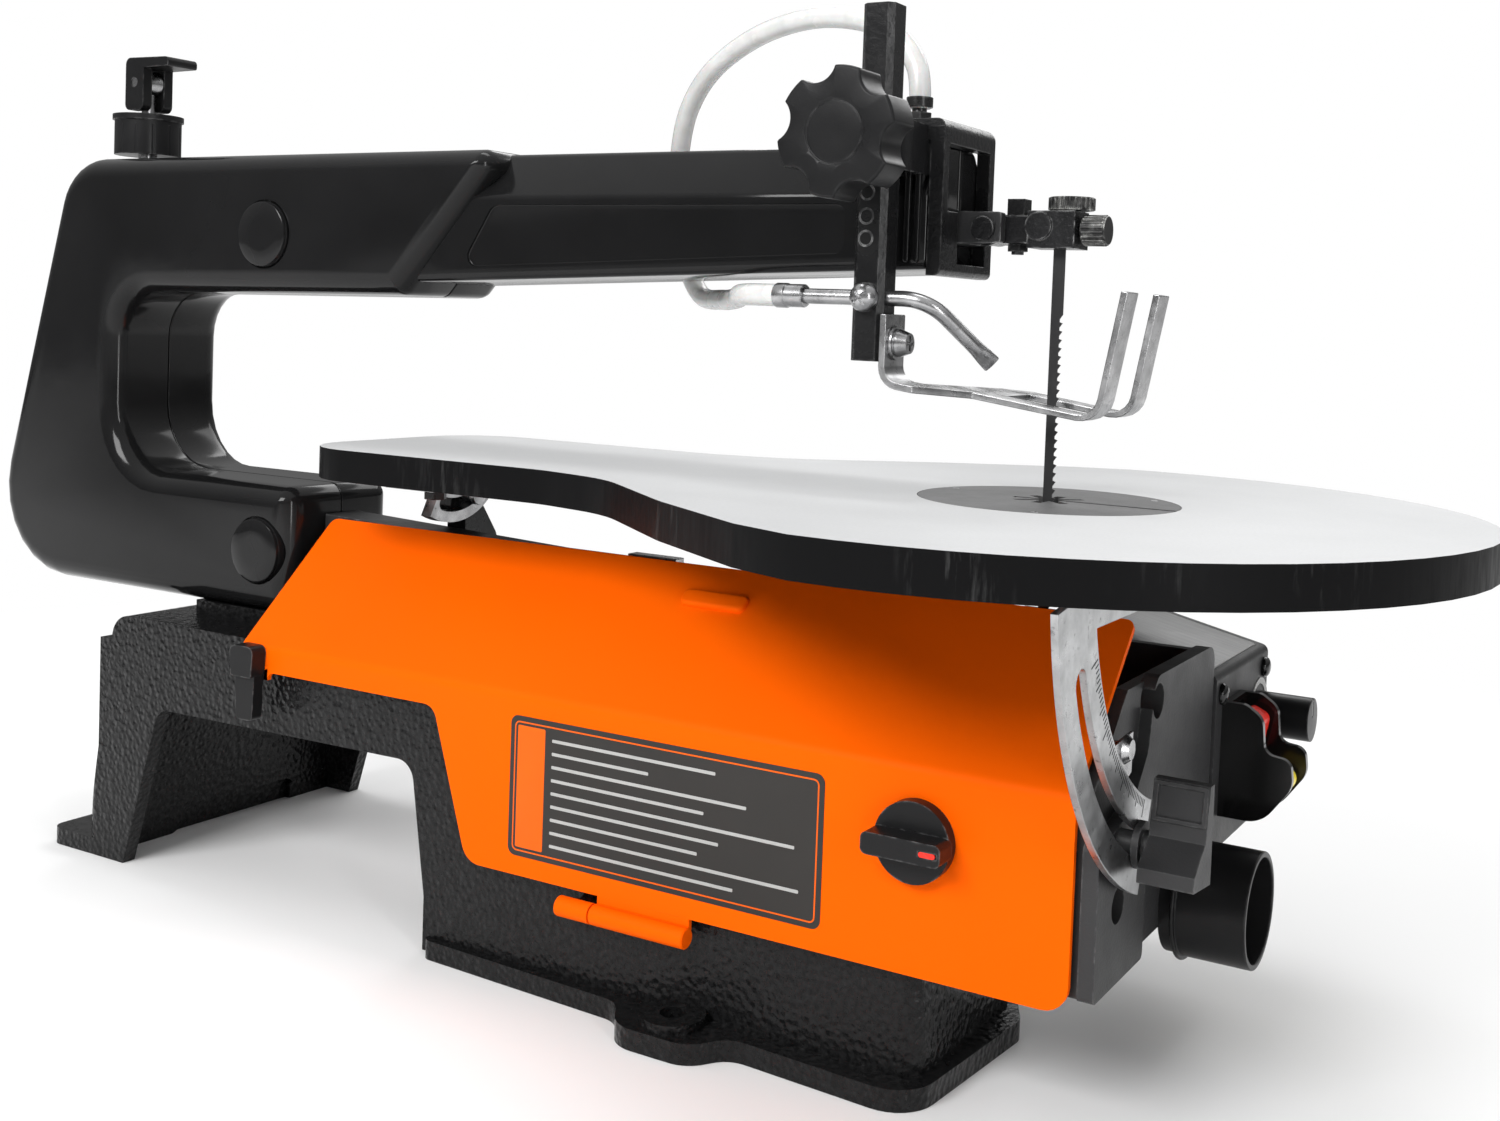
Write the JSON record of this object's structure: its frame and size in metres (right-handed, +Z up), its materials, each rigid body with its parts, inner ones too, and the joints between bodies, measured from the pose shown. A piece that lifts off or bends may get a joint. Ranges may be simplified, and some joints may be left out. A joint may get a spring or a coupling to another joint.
{
  "type": "scroll saw",
  "caption": "Bench scroll saw with parallel arms, a waisted round-nosed tilting table, a fine vertical blade, a hold-down foot with an air nozzle and a hinged orange side cover.",
  "frame": {"origin": "where the blade crosses the top face of the table", "axes": "+X towards the front of the saw, +Y to the user's right, +Z up from the bench"},
  "size_m": [0.6346, 0.279, 0.3477],
  "materials": {
    "housing_paint": "semi-gloss black paint",
    "base_paint": "hammered black paint on the casting",
    "black_plastic": "satin moulded plastic",
    "black_steel": "black coated steel",
    "bright_steel": "bright plated steel",
    "scale_steel": "stamped bright plate",
    "arm_alloy": "rough cast alloy",
    "holder_steel": "dark oxide steel",
    "bronze": "sintered bronze",
    "rubber": "matt moulded rubber",
    "nipple_metal": "black oxide",
    "clear_hose": "milky translucent tube",
    "blade_steel": "blued spring steel",
    "motor_shell": "satin grey paint",
    "motor_alloy": "die cast alloy",
    "table_alloy": "fine satin top, dark brushed rim",
    "insert_plastic": "grained dark plastic",
    "guard_plastic": "gloss black plastic",
    "switch_red": "gloss red plastic",
    "key_yellow": "gloss yellow plastic",
    "cover_paint": "smooth orange paint"
  },
  "bodies": {
    "frame": {"base_casting": "base_paint", "housing_left": "housing_paint", "housing_right": "housing_paint", "pivot_plugs": "black_plastic", "housing_screws": "black_steel", "pivot_pins": "bright_steel", "bellows_cap": "black_plastic", "bellows": "rubber", "hose_nipple": "nipple_metal", "air_hose": "clear_hose", "rod_clamp": "black_steel", "motor_can": "motor_shell", "motor_caps": "motor_alloy", "motor_bracket": "black_steel", "table_brackets": "black_steel", "trunnion_studs": "bright_steel", "front_housing": "black_steel", "dust_port": "black_plastic", "control_box": "black_plastic", "box_screws": "black_steel", "switch_guard": "guard_plastic", "cover_hinge": "cover_paint", "scale_pointer": "bright_steel"},
    "upper_arm": {"upper_arm": "arm_alloy", "arm_bushes_upper": "bronze"},
    "lower_arm": {"lower_arm": "arm_alloy", "arm_bushes_lower": "bronze", "rod_pin": "bright_steel"},
    "tension_link": {"tension_rod": "bright_steel"},
    "tension_knob": {"tension_knob": "black_plastic"},
    "cam_lever": {"cam_lever": "black_plastic"},
    "blade_set": {"blade": "blade_steel", "upper_holder": "holder_steel", "lower_holder": "holder_steel", "holder_bolts": "black_steel"},
    "upper_clamp_screw": {"upper_clamp_screw": "black_steel"},
    "lower_clamp_screw": {"lower_clamp_screw": "black_steel"},
    "blade_wheel": {"blade_wheel": "bright_steel"},
    "crank": {"motor_rotor": "bright_steel", "eccentric": "bright_steel"},
    "connecting_rod": {"connecting_rod": "bright_steel"},
    "table": {"table_top": "table_alloy", "table_insert": "insert_plastic", "insert_screws": "bright_steel", "rear_trunnion": "bright_steel", "bevel_scale": "scale_steel", "table_bolts": "black_steel"},
    "bevel_lock_knob": {"bevel_lock_knob": "black_plastic"},
    "hold_down": {"hold_down_rod": "black_steel", "nozzle_screw": "bright_steel"},
    "hold_down_knob": {"hold_down_knob": "black_plastic"},
    "work_foot": {"work_foot": "bright_steel", "foot_screw": "bright_steel"},
    "air_nozzle": {"air_nozzle": "bright_steel"},
    "switch_paddle": {"switch_paddle": "switch_red"},
    "safety_key": {"safety_key": "key_yellow"},
    "speed_knob": {"speed_knob": "black_plastic"},
    "side_cover": {"side_cover": "cover_paint"},
    "cover_knob": {"cover_knob": "black_plastic"},
    "cover_latch": {"cover_latch": "black_plastic"}
  },
  "joints": [
    {"name": "arm_swing", "type": "hinge", "parent": "frame", "child": "upper_arm", "pos_m": [-0.33, 0, 0.082], "axis": [0, 1, 0], "range_deg": [-1.24, 1.24], "deforming": ["bellows"]},
    {"name": "lower_arm_swing", "type": "hinge", "parent": "frame", "child": "lower_arm", "pos_m": [-0.33, 0, -0.0475], "axis": [0, 1, 0], "range_deg": [-1.24, 1.24]},
    {"name": "tension_link_pivot", "type": "hinge", "parent": "upper_arm", "child": "tension_link", "pos_m": [-0.439, 0, 0.082], "axis": [0, 1, 0], "range_deg": [-1.24, 1.24]},
    {"name": "blade_pivot", "type": "hinge", "parent": "upper_arm", "child": "blade_set", "pos_m": [-0.023, 0, 0.087], "axis": [0, 1, 0], "range_deg": [-1.24, 1.24]},
    {"name": "tension_knob_turn", "type": "hinge", "parent": "tension_link", "child": "tension_knob", "pos_m": [-0.439, 0, 0.127], "axis": [0, 0, 1], "range_deg": [0, 360]},
    {"name": "cam_lever_lift", "type": "hinge", "parent": "tension_link", "child": "cam_lever", "pos_m": [-0.439, 0, 0.151], "axis": [0, -1, 0], "range_deg": [0, 90]},
    {"name": "upper_clamp_turn", "type": "hinge", "parent": "blade_set", "child": "upper_clamp_screw", "pos_m": [0.008, 0, 0.087], "axis": [1, 0, 0], "range_deg": [0, 360]},
    {"name": "lower_clamp_turn", "type": "hinge", "parent": "blade_set", "child": "lower_clamp_screw", "pos_m": [0.008, 0, -0.0425], "axis": [1, 0, 0], "range_deg": [0, 360]},
    {"name": "blade_wheel_turn", "type": "hinge", "parent": "blade_set", "child": "blade_wheel", "pos_m": [0.0034, 0, 0.095], "axis": [0, 0, 1], "range_deg": [0, 360]},
    {"name": "crank_spin", "type": "hinge", "parent": "frame", "child": "crank", "pos_m": [-0.165, 0, -0.12], "axis": [0, 1, 0], "continuous": true},
    {"name": "rod_big_end", "type": "hinge", "parent": "crank", "child": "connecting_rod", "pos_m": [-0.16143, 0, -0.12], "axis": [0, 1, 0], "continuous": true},
    {"name": "table_tilt", "type": "hinge", "parent": "frame", "child": "table", "pos_m": [0, 0, 0], "axis": [1, 0, 0], "range_deg": [0, 45]},
    {"name": "bevel_lock_turn", "type": "hinge", "parent": "frame", "child": "bevel_lock_knob", "pos_m": [0.06, -0.04084, -0.09347], "axis": [1, 0, 0], "range_deg": [-90, 0]},
    {"name": "hold_down_slide", "type": "slide", "parent": "frame", "child": "hold_down", "axis": [0, 0, 1], "range_m": [-0.0255, 0.022]},
    {"name": "hold_down_knob_turn", "type": "hinge", "parent": "frame", "child": "hold_down_knob", "pos_m": [-0.047, -0.06, 0.112], "axis": [0, 1, 0], "range_deg": [0, 360]},
    {"name": "foot_pivot", "type": "hinge", "parent": "hold_down", "child": "work_foot", "pos_m": [-0.04, -0.038, 0.049], "axis": [1, 0, 0], "range_deg": [0, 15]},
    {"name": "nozzle_pivot", "type": "hinge", "parent": "hold_down", "child": "air_nozzle", "pos_m": [-0.047, -0.038, 0.063], "axis": [1, 0, 0], "range_deg": [-30, 30]},
    {"name": "paddle_rock", "type": "hinge", "parent": "frame", "child": "switch_paddle", "pos_m": [0.0465, 0.074, -0.091], "axis": [0, 1, 0], "range_deg": [-15, 0]},
    {"name": "safety_key_pull", "type": "slide", "parent": "frame", "child": "safety_key", "axis": [1, 0, 0], "range_m": [0, 0.012]},
    {"name": "speed_knob_turn", "type": "hinge", "parent": "frame", "child": "speed_knob", "pos_m": [0.05, 0.112, -0.084], "axis": [1, 0, 0], "range_deg": [0, 270]},
    {"name": "cover_swing", "type": "hinge", "parent": "frame", "child": "side_cover", "pos_m": [-0.113, -0.0612, -0.147], "axis": [1, 0, 0], "range_deg": [0, 90]},
    {"name": "cover_knob_turn", "type": "hinge", "parent": "side_cover", "child": "cover_knob", "pos_m": [-0.014, -0.062, -0.099], "axis": [0, 1, 0], "range_deg": [0, 90]},
    {"name": "cover_latch_turn", "type": "hinge", "parent": "side_cover", "child": "cover_latch", "pos_m": [-0.297, -0.062, -0.086], "axis": [0, 1, 0], "range_deg": [0, 90]}
  ],
  "couplings": [
    {"joint": "lower_arm_swing", "follows": "arm_swing", "ratio": 1},
    {"joint": "tension_link_pivot", "follows": "arm_swing", "ratio": -1},
    {"joint": "blade_pivot", "follows": "arm_swing", "ratio": -1},
    {"joint": "rod_big_end", "follows": "crank_spin", "ratio": -1}
  ]
}
